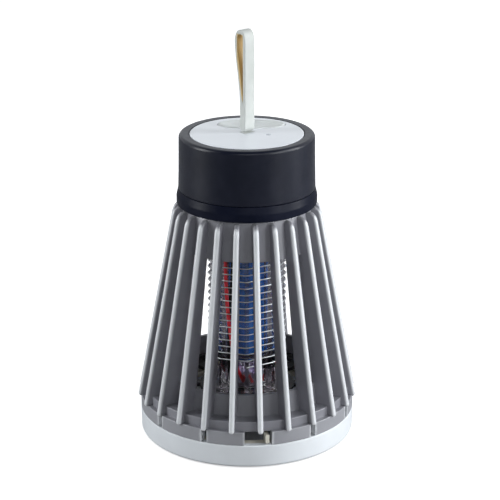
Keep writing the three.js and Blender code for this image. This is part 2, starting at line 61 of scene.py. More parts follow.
# Sizes taken from the CAD nodes
TRAY_RADIUS = node_box("base_tray")[1].x
TRAY_TOP = node_box("base_tray")[1].z
FOOT_OUTER = node_box("foot_ring")[1].x
FOOT_TOP = node_box("foot_ring")[1].z
CAGE_BOTTOM, CAGE_TOP = (corner.z for corner in node_box("fin_cage"))
COLLAR_FOOT, COLLAR_LIP = (corner.z for corner in node_box("head_base"))
COLLAR_RADIUS = node_box("head_base")[1].x
SHELL_BOTTOM, HEAD_TOP = (corner.z for corner in node_box("head_shell"))
SHELL_RADIUS = node_box("head_shell")[1].x
PLATE_RADIUS = node_box("top_plate")[1].x
PLATE_BOTTOM = node_box("top_plate")[0].z
FORMER_BOTTOM, FORMER_TOP = (corner.z for corner in node_box("coil_former"))
CELL_RADIUS = node_box("battery_cell")[1].x
CELL_BOTTOM, CELL_TOP = (corner.z for corner in node_box("battery_cell"))
STRAP_TOP = node_box("hang_strap")[1].z
BUTTON_LOW, BUTTON_HIGH = node_box("power_button")
FLAP_LOW, FLAP_HIGH = node_box("usb_cover")
FLOOR_LOW = node_box("cage_floor")[0]

# Cage: fins and wall lean inwards by a slope, and FIN_NECK is a (radius, z) on the fins' outer edge
FIN_COUNT = 24
FIN_THICKNESS = 2.3
FIN_ROUNDING = 1.0
FIN_FOOT = 15.6
FIN_SLOPE = 0.1906
FIN_NECK = (31.0, 96.2)
FIN_HEAD = 98.9
WALL = 1.8
WALL_SLOPE = 0.1376
WALL_AT_WINDOW_TOP = 28.5
WINDOW_BOTTOM = 28.7
WINDOW_TOP = 83.2
STEP_RADIUS = 42.9
STEP_BOTTOM = 15.8
STEP_TOP = 20.0
SHELF_RADIUS = 33.6
SHELF_TOP = 17.6
BLOCK_COUNT = 12
BLOCK_TOP = 16.2
BLOCK_RADII = (41.6, 44.9)
SLOT_HALF_ANGLE = 1.5
FRONT_GAP = (-0.9, 13.7)

# Grille at the foot of the cage
FLOOR_RADIUS = 35.0
FLOOR_TOP = 19.5
FLOOR_BORE = 8
RIM_RADII = (32.6, 34.0)
RIM_TOP = 20.8
DROP_COUNT = 8
DROP_RADII = (20, 31.5)
DROP_HALF_ANGLE = 17

# Coil
RIB_COUNT = 8
RIB_RADIUS = 15.8
RIB_WIDTH = 1.6
COIL_RADIUS = 16.45
COIL_WIRE = 0.24
COIL_BOTTOM = 32.6
COIL_PITCH = 5.8
COIL_TURNS = 8.75

# Strap, button and light pipe
STRAP_CENTRE = (0.15, 2.0)
STRAP_TURN = -50
STRAP_WIDTH = 5.1
STRAP_HALF = 1.7
STRAP_AXIS = 131.2
BUTTON_RADII = (13.9, 6.4)
BUTTON_SQUARENESS = 2.4
BUTTON_DISH = 1.7
LENS_CENTRE = (8.6, -2.2)
LENS_RADIUS = 1.0

# Camera: lens in millimetres, distance and height in metres, the rest in degrees
CAMERA_LENS = 139.8
CAMERA_DISTANCE = 0.7593
CAMERA_HEIGHT = 0.3478
CAMERA_AZIMUTH = 0.5
CAMERA_TILT = 70.484
CAMERA_PAN = -0.097

# Light: LIGHT_AIM is a height in metres
FLOOR_BOUNCE = 0.3
FLOOR_GLOW = 0.6
LIGHT_AIM = 0.05
WALL_LIGHT = 0.8
COOL_WHITE = (0.955, 0.98, 1.0)

# Azimuth and elevation in degrees, distance and (width, height) in metres, power in watts
SOFTBOXES = {
    "right_softbox": (88, 18, 1.1, (0.38, 0.9), 10.5),
    "right_front_softbox": (55, 18, 1.1, (0.38, 0.9), 6.0),
    "left_softbox": (-82, 18, 1.1, (0.38, 0.9), 9.0),
    "front_softbox": (5, 26, 1.4, (0.9, 0.5), 4.0),
}


# ---------- outlines ----------


def polar(radius, azimuth, z=0.0):
    """The point at a radius and azimuth round the main axis."""
    angle = math.radians(azimuth)
    return (radius * math.sin(angle), -radius * math.cos(angle), z)


def filleted(corners, steps=5):
    """A closed outline through corners (u, v, fillet radius), each corner an arc."""
    outline = []
    for i, (u, v, radius) in enumerate(corners):
        here = Vector((u, v))
        if not radius:
            outline.append(tuple(here))
            continue
        back = (Vector(corners[i - 1][:2]) - here).normalized()
        ahead = (Vector(corners[(i + 1) % len(corners)][:2]) - here).normalized()
        half = back.angle(ahead) / 2
        centre = here + (back + ahead).normalized() * radius / math.sin(half)
        start = here + back * radius / math.tan(half) - centre
        turn = start.angle_signed(here + ahead * radius / math.tan(half) - centre)
        for k in range(steps + 1):
            angle = -turn * k / steps
            spoke = Matrix.Rotation(angle, 2) @ start
            outline.append(tuple(centre + spoke))
    return outline


def bezier(p0, p1, p2, p3, steps=12):
    """Points along a cubic curve, without its first."""
    points = []
    for i in range(1, steps + 1):
        t = i / steps
        weights = ((1 - t) ** 3, 3 * t * (1 - t) ** 2, 3 * t * t * (1 - t), t**3)
        points.append(
            tuple(sum(w * p[axis] for w, p in zip(weights, (p0, p1, p2, p3))) for axis in (0, 1))
        )
    return points


def circle(radius, centre=(0.0, 0.0), count=96):
    """A round outline in the XY plane."""
    return [
        (
            centre[0] + radius * math.cos(2 * math.pi * i / count),
            centre[1] + radius * math.sin(2 * math.pi * i / count),
        )
        for i in range(count)
    ]


def oval(centre, radii, squareness, count=128):
    """A closed outline between an ellipse (squareness 2) and a rectangle."""
    power = 2 / squareness
    outline = []
    for i in range(count):
        c, s = math.cos(2 * math.pi * i / count), math.sin(2 * math.pi * i / count)
        outline.append(
            (
                centre[0] + radii[0] * math.copysign(abs(c) ** power, c),
                centre[1] + radii[1] * math.copysign(abs(s) ** power, s),
            )
        )
    return outline


def sector(inner, outer, start, end, steps=16):
    """The outline of part of a ring between two azimuths."""
    angles = [start + (end - start) * i / steps for i in range(steps + 1)]
    outside = [polar(outer, a)[:2] for a in angles]
    inside = [polar(inner, a)[:2] for a in reversed(angles)]
    return outside + inside


def wall_radius(z):
    """Outside of the cage's wall, which is cut away between the windows' bottom and top."""
    return WALL_AT_WINDOW_TOP + (WINDOW_TOP - z) * WALL_SLOPE


def fin_radius(z):
    """Outer edge of the fins."""
    return FIN_NECK[0] + (FIN_NECK[1] - z) * FIN_SLOPE


# ---------- meshes ----------


def link(name, mesh):
    piece = bpy.data.objects.new(name, mesh)
    bpy.context.scene.collection.objects.link(piece)
    return piece


def clean(mesh):
    """Joins points that coincide and turns every face outwards."""
    work = bmesh.new()
    work.from_mesh(mesh)
    bmesh.ops.remove_doubles(work, verts=work.verts, dist=1e-7)
    bmesh.ops.dissolve_degenerate(work, edges=work.edges, dist=1e-8)
    bmesh.ops.recalc_face_normals(work, faces=work.faces)
    work.to_mesh(mesh)
    work.free()


def solid_from(name, verts, faces):
    mesh = bpy.data.meshes.new(name)
    mesh.from_pydata([[c * MM for c in v] for v in verts], [], faces)
    clean(mesh)
    return link(name, mesh)


def lathe(name, outline, centre=(0.0, 0.0), segments=SEGMENTS):
    """A closed (radius, z) outline turned about a vertical axis."""
    count = len(outline)
    verts, faces = [], []
    for i in range(segments):
        for radius, z in outline:
            x, y, _ = polar(radius, 360 * i / segments)
            verts.append((x + centre[0], y + centre[1], z))
        for k in range(count):
            here, there = i * count, (i + 1) % segments * count
            along = (k + 1) % count
            faces.append((here + k, there + k, there + along, here + along))
    return solid_from(name, verts, faces)


def curve_mesh(name, curve):
    """The mesh of a curve drawn in millimetres."""
    temporary = link(name, curve)
    bpy.context.view_layer.update()
    shown = temporary.evaluated_get(bpy.context.evaluated_depsgraph_get())
    mesh = bpy.data.meshes.new_from_object(shown)
    bpy.data.objects.remove(temporary)
    bpy.data.curves.remove(curve)
    mesh.transform(Matrix.Scale(MM, 4))
    clean(mesh)
    return mesh


def slab(name, outline, low, high, rounding, holes=(), place=None):
    """An outline in the XY plane raised from low to high, with holes, all its edges rounded."""
    curve = bpy.data.curves.new(name, "CURVE")
    curve.dimensions = "2D"
    curve.fill_mode = "BOTH"
    curve.extrude = (high - low) / 2 - rounding
    curve.bevel_depth = rounding
    curve.bevel_resolution = 2
    curve.offset = -rounding
    for i, loop in enumerate([outline, *holes]):
        area = sum(a[0] * b[1] - b[0] * a[1] for a, b in zip(loop, loop[1:] + loop[:1]))
        anticlockwise = area > 0
        points = loop if anticlockwise == (i == 0) else loop[::-1]
        spline = curve.splines.new("POLY")
        spline.points.add(len(points) - 1)
        spline.use_cyclic_u = True
        for target, (x, y) in zip(spline.points, points):
            target.co = (x, y, 0, 1)
    mesh = curve_mesh(name, curve)
    mesh.transform(Matrix.Translation((0, 0, (low + high) / 2 * MM)))
    if place is not None:
        mesh.transform(place)
    return link(name, mesh)


def wire(name, points, radius, sides=8):
    """A round wire along a line of points."""
    curve = bpy.data.curves.new(name, "CURVE")
    curve.dimensions = "3D"
    curve.bevel_depth = radius
    curve.bevel_resolution = sides // 4
    curve.use_fill_caps = True
    spline = curve.splines.new("POLY")
    spline.points.add(len(points) - 1)
    for target, point in zip(spline.points, points):
        target.co = (*point, 1)
    return link(name, curve_mesh(name, curve))


def join(name, pieces):
    """One object of several meshes."""
    work = bmesh.new()
    for piece in pieces:
        work.from_mesh(piece.data)
        bpy.data.objects.remove(piece)
    mesh = bpy.data.meshes.new(name)
    work.to_mesh(mesh)
    work.free()
    return link(name, mesh)


def cut(piece, tool):
    """Takes a tool's space out of a piece, and uses the tool up."""
    modifier = piece.modifiers.new("cut", "BOOLEAN")
    modifier.operation = "DIFFERENCE"
    modifier.solver = "EXACT"
    modifier.object = tool
    shown = piece.evaluated_get(bpy.context.evaluated_depsgraph_get())
    mesh = bpy.data.meshes.new_from_object(shown)
    piece.modifiers.clear()
    piece.data = mesh
    bpy.data.objects.remove(tool)
    return piece


def upright(azimuth):
    """Turns a slab drawn in (radius, z) to stand at an azimuth."""
    stand = Matrix.Rotation(math.pi / 2, 4, "X")
    return Matrix.Rotation(math.radians(azimuth - 90), 4, "Z") @ stand


# ---------- shader nodes ----------


def linear(hex_colour):
    """An sRGB hex colour as linear RGBA."""
    channels = [int(hex_colour[i : i + 2], 16) / 255 for i in (1, 3, 5)]
    return (*[c / 12.92 if c <= 0.04045 else ((c + 0.055) / 1.055) ** 2.4 for c in channels], 1.0)


class Shader:
    """A material's nodes. Coordinates are the object's own, in metres."""

    def __init__(self, name):
        self.material = bpy.data.materials.new(name)
        self.material.use_nodes = True
        self.tree = self.material.node_tree
        self.surface = self.tree.nodes["Principled BSDF"]
        self.place = self.add("TexCoord").outputs["Object"]

    def add(self, kind, inputs=None, **settings):
        node = self.tree.nodes.new("ShaderNode" + kind)
        for key, value in settings.items():
            setattr(node, key, value)
        for key, value in (inputs or {}).items():
            self.set(node.inputs[key], value)
        return node

    def set(self, socket, value):
        if isinstance(value, bpy.types.NodeSocket):
            self.tree.links.new(value, socket)
        else:
            socket.default_value = value

    def principled(self, **inputs):
        for key, value in inputs.items():
            self.set(self.surface.inputs[key.replace("_", " ")], value)

    def noise(self, size, detail=3.0, stretch=(1, 1, 1)):
        """Noise from 0 to 1 whose patches are about size millimetres across."""
        scaled = self.add("VectorMath", {0: self.place, 1: stretch}, operation="MULTIPLY")
        inputs = {"Vector": scaled.outputs[0], "Scale": 1 / (size * MM), "Detail": detail}
        return self.add("TexNoise", inputs).outputs["Fac"]

    def span(self, value, low, high, to_low, to_high):
        """A value from low..high spread over to_low..to_high."""
        inputs = {
            "Value": value,
            "From Min": low,
            "From Max": high,
            "To Min": to_low,
            "To Max": to_high,
        }
        return self.add("MapRange", inputs).outputs["Result"]

    def blend(self, share, a, b):
        """A colour from a (share 0) to b (share 1)."""
        node = self.add("Mix", data_type="RGBA")
        self.set(node.inputs["Factor"], share)
        self.set(node.inputs["A"], a)
        self.set(node.inputs["B"], b)
        return node.outputs["Result"]

    def bump(self, height, depth):
        """A normal for a surface that rises and falls by depth millimetres."""
        inputs = {"Height": height, "Distance": depth * MM, "Strength": 1.0}
        return self.add("Bump", inputs).outputs["Normal"]

    def edges(self):
        """From 0 on flat faces to 1 along outer edges."""
        pointiness = self.add("NewGeometry").outputs["Pointiness"]
        return self.span(pointiness, 0.54, 0.62, 0.0, 1.0)

    def larger(self, a, b):
        return self.add("Math", {0: a, 1: b}, operation="MAXIMUM").outputs[0]

    def product(self, a, b):
        return self.add("Math", {0: a, 1: b}, operation="MULTIPLY").outputs[0]

    def difference(self, a, b):
        return self.add("Math", {0: a, 1: b}, operation="SUBTRACT").outputs[0]


def mixed_with_white(colour, share):
    """A linear colour moved towards the cool white that plastic goes where it is worn, and towards which
    highlights are painted.
    """
    return tuple(c + (w - c) * share for c, w in zip(colour, COOL_WHITE)) + (1.0,)


def moulded(
    name,
    colour,
    roughness,
    grain=0.012,
    grain_size=0.35,
    tone=0.05,
    edge_paling=(0.2, 0.35),
    worn_and_highlit_white=0.25,
    painted_highlight_zone=None,
    **more,
):
    """Injection-moulded plastic: faint cloudy colour, fine grain, and paler edges: worn plastic, and on
    the grey cage also painted highlight.

    The grain's depth and size are in millimetres. painted_highlight_zone adds painted highlight to the
    paled edges.
    """
    shader = Shader(name)
    base = linear(colour)
    dark = tuple(c * (1 - tone) for c in base[:3]) + (1.0,)
    pale = tuple(min(1.0, c * (1 + tone) + 0.004) for c in base[:3]) + (1.0,)
    clouds = shader.noise(9.0, detail=4.0)
    cloudy = shader.blend(shader.span(clouds, 0.35, 0.65, 0.0, 1.0), dark, pale)
    patchy = shader.span(shader.noise(2.5), 0.4, 0.6, *edge_paling)
    # Paler edges: worn plastic, and on the cage also painted highlight; the painted highlight zone is
    # added on top.
    worn_and_highlit = shader.product(shader.edges(), patchy)
    if painted_highlight_zone:
        worn_and_highlit = shader.larger(worn_and_highlit, painted_highlight_zone(shader))
    coloured = shader.blend(worn_and_highlit, cloudy, mixed_with_white(base, worn_and_highlit_white))
    gloss = shader.span(shader.noise(1.6, detail=5.0), 0.3, 0.7, roughness * 0.88, roughness * 1.12)
    fine = shader.noise(grain_size, detail=2.0)
    shader.principled(
        Base_Color=coloured,
        Roughness=gloss,
        Normal=shader.bump(fine, grain),
        **more,
    )
    return shader.material


def clear_plastic(name, colour):
    """Clear moulding with faint flow lines and a slightly uneven surface."""
    shader = Shader(name)
    flow = shader.noise(2.2, detail=2.0, stretch=(1, 1, 0.25))
    streaks = shader.span(flow, 0.3, 0.7, 0.0, 1.0)
    shader.principled(
        Base_Color=shader.blend(streaks, linear(colour), (0.98, 0.99, 1.0, 1.0)),
        Roughness=shader.span(shader.noise(1.2), 0.3, 0.7, 0.018, 0.054),
        Normal=shader.bump(flow, 0.03),
        Transmission_Weight=1.0,
        IOR=1.5,
    )
    return shader.material


def metal(name, colour, roughness):
    """Bare metal with fine drawn or stamped marks and a little tarnish."""
    shader = Shader(name)
    base = linear(colour)
    dull = tuple(c * 0.72 for c in base[:3]) + (1.0,)
    tarnish = shader.span(shader.noise(1.8, detail=4.0), 0.45, 0.75, 0.0, 0.8)
    marks = shader.noise(0.2, detail=2.0)
    shader.principled(
        Base_Color=shader.blend(tarnish, base, dull),
        Metallic=1.0,
        Roughness=shader.span(marks, 0.3, 0.7, roughness * 0.7, roughness * 1.4),
        Normal=shader.bump(marks, 0.006),
    )
    return shader.material


def painted_outer_highlight(shader):
    """Painted highlight: 1 along the fins' outer edges, furthest from the axis at each height, and a
    little painted light on the blocks' faces.
    """
    axes = shader.add("SeparateXYZ", {"Vector": shader.place}).outputs
    flat = shader.add("CombineXYZ", {"X": axes["X"], "Y": axes["Y"]}).outputs[0]
    radius = shader.add("VectorMath", {0: flat}, operation="LENGTH").outputs["Value"]
    foot, head = FIN_FOOT * MM, FIN_NECK[1] * MM
    edge = shader.span(axes["Z"], foot, head, fin_radius(FIN_FOOT) * MM, FIN_NECK[0] * MM)
    # Painted highlight along each fin's outer edge, where the side light catches it.
    front = shader.span(shader.difference(radius, edge), -1.35 * MM, -0.45 * MM, 0.0, 1.0)
    face = BLOCK_RADII[1]
    # Painted light on the skirt blocks' outer faces.
    painted_block_light = shader.span(radius, (face - 0.6) * MM, (face - 0.1) * MM, 0.0, 0.17)
    return shader.larger(front, painted_block_light)


WHITE_GLOSS = moulded("white_gloss", "#e8ecf2", 0.16, grain=0.001, tone=0.012)
WHITE_SATIN = moulded("white_satin", "#e4e8ec", 0.35, grain=0.001, tone=0.015)
# The cage's strong edge paling and its highlight zone are painted highlights where light catches the fins
# and the blocks.
CAGE_GREY = moulded(
    "cage_grey",
    "#85858c",
    0.35,
    grain=0.003,
    tone=0.04,
    edge_paling=(0.6, 0.9),
    worn_and_highlit_white=0.65,
    painted_highlight_zone=painted_outer_highlight,
    Specular_IOR_Level=0.75,
)
HEAD_BLACK = moulded(
    "head_black",
    "#040a1e",
    0.34,
    grain=0.003,
    grain_size=0.5,
    tone=0.1,
    edge_paling=(0.05, 0.15),
    Specular_IOR_Level=0.36,
    Sheen_Weight=0.08,
    Sheen_Roughness=0.3,
    Sheen_Tint=(0.75, 0.85, 1.0, 1.0),
)
COLLAR_BLACK = moulded(
    "collar_black",
    "#040a1e",
    0.40,
    grain=0.001,
    grain_size=0.5,
    tone=0.1,
    edge_paling=(0.05, 0.12),
    Specular_IOR_Level=0.12,
)
DARK_PLASTIC = moulded("dark_plastic", "#1b1b1e", 0.5, tone=0.1)
CREAM_PLASTIC = moulded("cream_plastic", "#e9e5d6", 0.4, tone=0.03)
RUBBER = moulded("rubber", "#8f9194", 0.75, grain=0.02, tone=0.06)
CLEAR = clear_plastic("clear_plastic", "#d6cfd8")
STEEL_WIRE = metal("steel_wire", "#f2f4f6", 0.38)
NICKEL = metal("nickel", "#c9c6ba", 0.32)
SCREW_STEEL = metal("screw_steel", "#b9bcc0", 0.35)
CELL_WRAP = moulded("cell_wrap", "#2a8cff", 0.22, grain=0.003, tone=0.08, edge_paling=(0.05, 0.1))
RED_INSULATION = moulded("red_insulation", "#d8303a", 0.4, tone=0.06)
BLACK_INSULATION = moulded("black_insulation", "#0d0d10", 0.4, tone=0.1)
CIRCUIT_BOARD = moulded("circuit_board", "#1e6a3c", 0.4, tone=0.1)
LAMP_BOARD = moulded("lamp_board", "#8d8592", 0.4, tone=0.1)
AMBER_TAPE = moulded("amber_tape", "#b98a2c", 0.35, tone=0.08)
UV_LENS = clear_plastic("uv_lens", "#c7b6f0")
SOFT_WHITE = moulded("soft_white", "#d4d8d8", 0.5, grain=0.006, tone=0.015)
INDICATOR = moulded("indicator_lens", "#a9aeb8", 0.3, grain=0.002, tone=0.05)


def silicone():
    """White silicone with warm painted shade inside the strap's loop.

    u runs across the loop in millimetres, and each mask keeps the painted shade between the two legs.
    """
    shader = Shader("silicone")
    clouds = shader.span(shader.noise(7.0, detail=4.0), 0.35, 0.65, 0.0, 1.0)
    unshaded_white = shader.blend(clouds, linear("#c2c6c2"), linear("#cbcecb"))
    turn = math.radians(STRAP_TURN)
    across = Vector((math.cos(turn), math.sin(turn), 0))
    offset = across.x * STRAP_CENTRE[0] + across.y * STRAP_CENTRE[1]
    place = shader.add("VectorMath", {0: shader.place, 1: across / MM}, operation="DOT_PRODUCT")
    u = shader.difference(place.outputs["Value"], offset)
    z = shader.add("SeparateXYZ", {"Vector": shader.place}).outputs["Z"]
    from_left = shader.difference(u, shader.span(z, 142 * MM, 160 * MM, 0.0, -3.3))
    # Masks for the warm brown painted shade between the loop's legs.
    masks = (
        shader.span(from_left, -0.45, -0.1, 0.0, 1.0),
        shader.span(u, 0.2, 0.5, 1.0, 0.0),
        shader.span(z, 141.5 * MM, 143 * MM, 0.0, 1.0),
        shader.span(z, 169.3 * MM, 169.9 * MM, 1.0, 0.0),
    )
    share = masks[0]
    for mask in masks[1:]:
        share = shader.product(share, mask)
    shader.principled(
        # Blends the white towards warm brown painted shade inside the loop.
        Base_Color=shader.blend(share, unshaded_white, linear("#c9ae78")),
        Roughness=shader.span(shader.noise(1.6), 0.3, 0.7, 0.42, 0.58),
        Normal=shader.bump(shader.noise(0.4), 0.006),
    )
    return shader.material


SILICONE = silicone()


def dress(piece, material, slot, body, *nodes):
    """Gives a new piece its finish and its body, and lets it stand for CAD nodes."""
    piece.data.materials.clear()
    piece.data.materials.append(material)
    piece.data.shade_smooth()
    piece.data.set_sharp_from_angle(angle=math.radians(38))
    weighted = piece.modifiers.new("even_shading", "WEIGHTED_NORMAL")
    weighted.keep_sharp = True
    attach(piece, body)
    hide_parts(*nodes)
    return piece


# ---------- base ----------


def make_tray():
    """The shallow pan that catches the insects, with a seat for the foot under it."""
    radius, top = TRAY_RADIUS, TRAY_TOP
    outline = filleted(
        [
            (0, 0.6, 0),
            (FOOT_OUTER - 5.3, 0.6, 0.2),
            (FOOT_OUTER - 5.3, 1.7, 0.2),
            (FOOT_OUTER + 0.3, 1.7, 0.2),
            (FOOT_OUTER + 0.3, 0.6, 0.2),
            (radius - 0.15, 0.6, 1.5),
            (radius, top, 0.45),
            (42.0, top, 0.25),
            (42.0, 7.4, 0.3),
            (40.6, 7.4, 0.3),
            (40.0, 2.4, 1.2),
            (0, 2.4, 0),
        ]
    )
    dress(lathe("tray_body", outline), WHITE_SATIN, "white_plastic", "tray", "base_tray")


def make_foot():
    outline = filleted(
        [(36, 0, 0.3), (FOOT_OUTER, 0, 0.3), (FOOT_OUTER, FOOT_TOP, 0.2), (36, FOOT_TOP, 0.2)]
    )
    dress(lathe("tray_foot", outline), RUBBER, "dark_rubber", "tray", "foot_ring")


def make_lock():
    """A ring with three hooked posts, and the thumb tab that shows in the front gap."""
    low, high = node_box("lock_ring")
    ring = filleted([(38.4, low.z, 0.2), (41.7, low.z, 0.2), (41.7, 10.0, 0.2), (38.4, 10.0, 0.2)])
    pieces = [lathe("ring", ring)]
    for turn in (0, 120, 240):
        start, end = 75 + turn - 4.2, 75 + turn + 4.2
        pieces.append(slab("post", sector(38.4, 39.7, start, end), 9.0, high.z, 0.15))
        pieces.append(slab("hook", sector(38.4, 41.2, start, end), 12.8, high.z, 0.2))
    tab = 11.4
    pieces.append(slab("tab_post", sector(39.1, 41.7, tab - 1.05, tab + 1.05), 9.0, high.z, 0.15))
    pieces.append(slab("tab", sector(40.5, 44.1, tab - 1.0, tab + 1.0), TRAY_TOP + 0.4, high.z, 0.25))
    dress(join("lock_ring_moulding", pieces), CREAM_PLASTIC, "cream_plastic", "lock", "lock_ring")


# ---------- cage ----------


def fin_outline():
    """A fin's side view in (radius, z), rounded at the foot and swept in at the head."""
    straight_top = FIN_NECK[1] - 2.0
    inner = [(wall_radius(z) - WALL + 0.1, z) for z in (FIN_FOOT, FIN_HEAD)]
    points = [inner[0]]
    points += bezier(
        (fin_radius(FIN_FOOT) - 1.6, FIN_FOOT),
        (fin_radius(FIN_FOOT) - 0.5, FIN_FOOT),
        (fin_radius(FIN_FOOT), FIN_FOOT + 0.5),
        (fin_radius(FIN_FOOT + 1.6), FIN_FOOT + 1.6),
        6,
    )
    points += bezier(
        (fin_radius(straight_top), straight_top),
        (fin_radius(straight_top) - 0.35, straight_top + 2.0),
        (30.2, 98.4),
        (28.2, FIN_HEAD),
        10,
    )
    points.append(inner[1])
    return points


def make_cage():
    """Fins, upper cone, stepped lower ring, skirt blocks, and the ledges that the hooks hold."""
    pieces = []
    outline = fin_outline()
    for i in range(FIN_COUNT):
        azimuth = 360 / FIN_COUNT * (i + 0.5)
        half = FIN_THICKNESS / 2
        pieces.append(slab("fin", outline, -half, half, FIN_ROUNDING, place=upright(azimuth)))
    upper = filleted(
        [
            (wall_radius(WINDOW_TOP) - WALL, WINDOW_TOP, 0.3),
            (wall_radius(WINDOW_TOP), WINDOW_TOP, 0.3),
            (wall_radius(CAGE_TOP - 0.4), CAGE_TOP, 1.2),
            (20.2, CAGE_TOP, 0.3),
            (20.2, CAGE_TOP - WALL, 0.3),
            (wall_radius(CAGE_TOP - WALL) - WALL, CAGE_TOP - WALL, 0.8),
        ]
    )
    pieces.append(lathe("upper_cone", upper))
    lower = filleted(
        [
            (SHELF_RADIUS, STEP_BOTTOM, 0.2),
            (STEP_RADIUS, STEP_BOTTOM, 0.2),
            (STEP_RADIUS, STEP_TOP, 0.35),
            (wall_radius(STEP_TOP), STEP_TOP, 0.4),
            (wall_radius(WINDOW_BOTTOM), WINDOW_BOTTOM, 0.3),
            (wall_radius(WINDOW_BOTTOM) - WALL, WINDOW_BOTTOM, 0.3),
            (wall_radius(SHELF_TOP) - WALL, SHELF_TOP, 0.3),
            (SHELF_RADIUS, SHELF_TOP, 0.2),
        ]
    )
    pieces.append(lathe("lower_ring", lower))
    pitch = 360 / BLOCK_COUNT
    for i in range(BLOCK_COUNT):
        left_slot = pitch * (i - 0.75)
        start = FRONT_GAP[1] if i == 1 else left_slot + SLOT_HALF_ANGLE
        end = FRONT_GAP[0] if i == 0 else left_slot + pitch - SLOT_HALF_ANGLE
        pieces.append(slab("block", sector(*BLOCK_RADII, start, end), CAGE_BOTTOM, BLOCK_TOP, 0.3))
    for turn in (0, 120, 240):
        pieces.append(slab("ledge", sector(40.1, 42.2, 55 + turn, 69.5 + turn), 10.7, 12.4, 0.2))
    dress(join("cage_moulding", pieces), CAGE_GREY, "grey_plastic", "lantern", "fin_cage")


def make_cage_floor():
    """A black grille that the insects drop through, with a low rim."""
    pitch = 360 / DROP_COUNT
    middles = [pitch * (i + 0.5) for i in range(DROP_COUNT)]
    holes = [sector(*DROP_RADII, m - DROP_HALF_ANGLE, m + DROP_HALF_ANGLE) for m in middles]
    holes.append(circle(FLOOR_BORE))
    plate = slab("plate", circle(FLOOR_RADIUS, count=SEGMENTS), FLOOR_LOW.z, FLOOR_TOP, 0.25, holes)
    inner, outer = RIM_RADII
    rim = lathe(
        "rim",
        filleted(
            [
                (inner, FLOOR_TOP - 0.6, 0),
                (outer, FLOOR_TOP - 0.6, 0),
                (outer, RIM_TOP, 0.3),
                (inner, RIM_TOP, 0.3),
            ]
        ),
    )
    dress(join("floor_grille", [plate, rim]), DARK_PLASTIC, "dark_plastic", "lantern", "cage_floor")


# ---------- coil ----------


def rib_outline():
    """A rib's side view in (radius, z), its outer edge notched where each winding crosses it."""
    low, high = FORMER_BOTTOM + 0.5, FORMER_TOP - 0.5
    spacing = COIL_PITCH / 2
    points = [(10.6, low), (RIB_RADIUS, low)]
    z = COIL_BOTTOM
    while z < COIL_BOTTOM + COIL_PITCH * COIL_TURNS + 0.1:
        points += [
            (RIB_RADIUS, z - 0.75),
            (RIB_RADIUS - 0.45, z - 0.5),
            (RIB_RADIUS - 0.6, z),
            (RIB_RADIUS - 0.45, z + 0.5),
            (RIB_RADIUS, z + 0.75),
        ]
        z += spacing
    return points + [(RIB_RADIUS, high), (10.6, high)]


def make_former():
    """A clear tube with a flange at each end and notched ribs for the windings."""
    foot, head = 1.4, 2.0
    core = filleted(
        [
            (8.4, FORMER_BOTTOM, 0.2),
            (17.5, FORMER_BOTTOM, 0.3),
            (17.5, FORMER_BOTTOM + foot, 0.3),
            (11.2, FORMER_BOTTOM + foot, 0.4),
            (11.2, FORMER_TOP - head, 0.4),
            (17.5, FORMER_TOP - head, 0.3),
            (17.5, FORMER_TOP, 0.3),
            (10.0, FORMER_TOP, 0.2),
            (10.0, 34.6, 0.2),
            (7.5, 34.6, 0.2),
            (7.5, 33.5, 0.2),
            (10.0, 33.5, 0.2),
            (10.0, FORMER_BOTTOM + foot, 0.2),
            (8.4, FORMER_BOTTOM + foot, 0.2),
        ],
        steps=3,
    )
    pieces = [lathe("core", core, segments=96)]
    outline = rib_outline()
    for i in range(RIB_COUNT):
        azimuth = 360 / RIB_COUNT * i
        pieces.append(slab("rib", outline, -RIB_WIDTH / 2, RIB_WIDTH / 2, 0.12, place=upright(azimuth)))
    dress(join("former_moulding", pieces), CLEAR, "clear_plastic", "lantern", "coil_former")


def make_winding(name, node, start):
    """A wire that climbs round the ribs, straight from one rib to the next."""
    sides = RIB_COUNT
    count = round(COIL_TURNS * sides)
    corners = [
        Vector(polar(COIL_RADIUS, start + 360 / sides * i, COIL_BOTTOM + COIL_PITCH / sides * i))
        for i in range(count + 1)
    ]
    points = [corners[0]]
    for a, b in zip(corners, corners[1:]):
        points += [a.lerp(b, 0.06), a.lerp(b, 0.5), a.lerp(b, 0.94)]
    points.append(corners[-1])
    dress(wire(name, points, COIL_WIRE), STEEL_WIRE, "steel_wire", "lantern", node)


def make_cell():
    """A cylindrical cell in its wrap, with the groove and nub at its top end."""
    radius, nub_height = CELL_RADIUS, 0.9
    shoulder = CELL_TOP - nub_height
    outline = filleted(
        [
            (0, CELL_BOTTOM, 0),
            (radius - 1.6, CELL_BOTTOM, 0.1),
            (radius - 1.5, CELL_BOTTOM + 0.15, 0.1),
            (radius, CELL_BOTTOM, 0.5),
            (radius, shoulder - 3.2, 0.3),
            (radius - 0.35, shoulder - 2.6, 0.3),
            (radius, shoulder - 2.0, 0.3),
            (radius, shoulder, 0.6),
            (radius - 2.2, shoulder, 0.2),
            (radius - 2.3, shoulder - 0.3, 0.1),
            (2.9, shoulder - 0.3, 0.1),
            (2.9, CELL_TOP, 0.3),
            (0, CELL_TOP, 0),
        ]
    )
    dress(lathe("cell_body", outline, segments=128), CELL_WRAP, "cell_wrap", "lantern", "battery_cell")


RED_ROUTE = [
    (14.0, -39, 111.2), (14.0, -38.5, 100), (14.1, -38, 88), (14.1, -37.5, 72), (14.1, -35, 60),
    (14.0, -30, 48), (13.6, -24, 38), (12.6, -18, 30), (10.2, -14, 26.6), (8.0, -12, 23.7),
]  # fmt: skip
BLACK_ROUTE = [
    (12.8, -27, 111.2), (12.6, -28, 100), (12.3, -27, 88), (12.3, -29, 72), (12.2, -34, 60),
    (12.2, -37, 48), (12.2, -38, 38), (11.8, -38, 30.5), (9.8, -37.5, 26.8), (8.0, -41, 23.7),
]  # fmt: skip


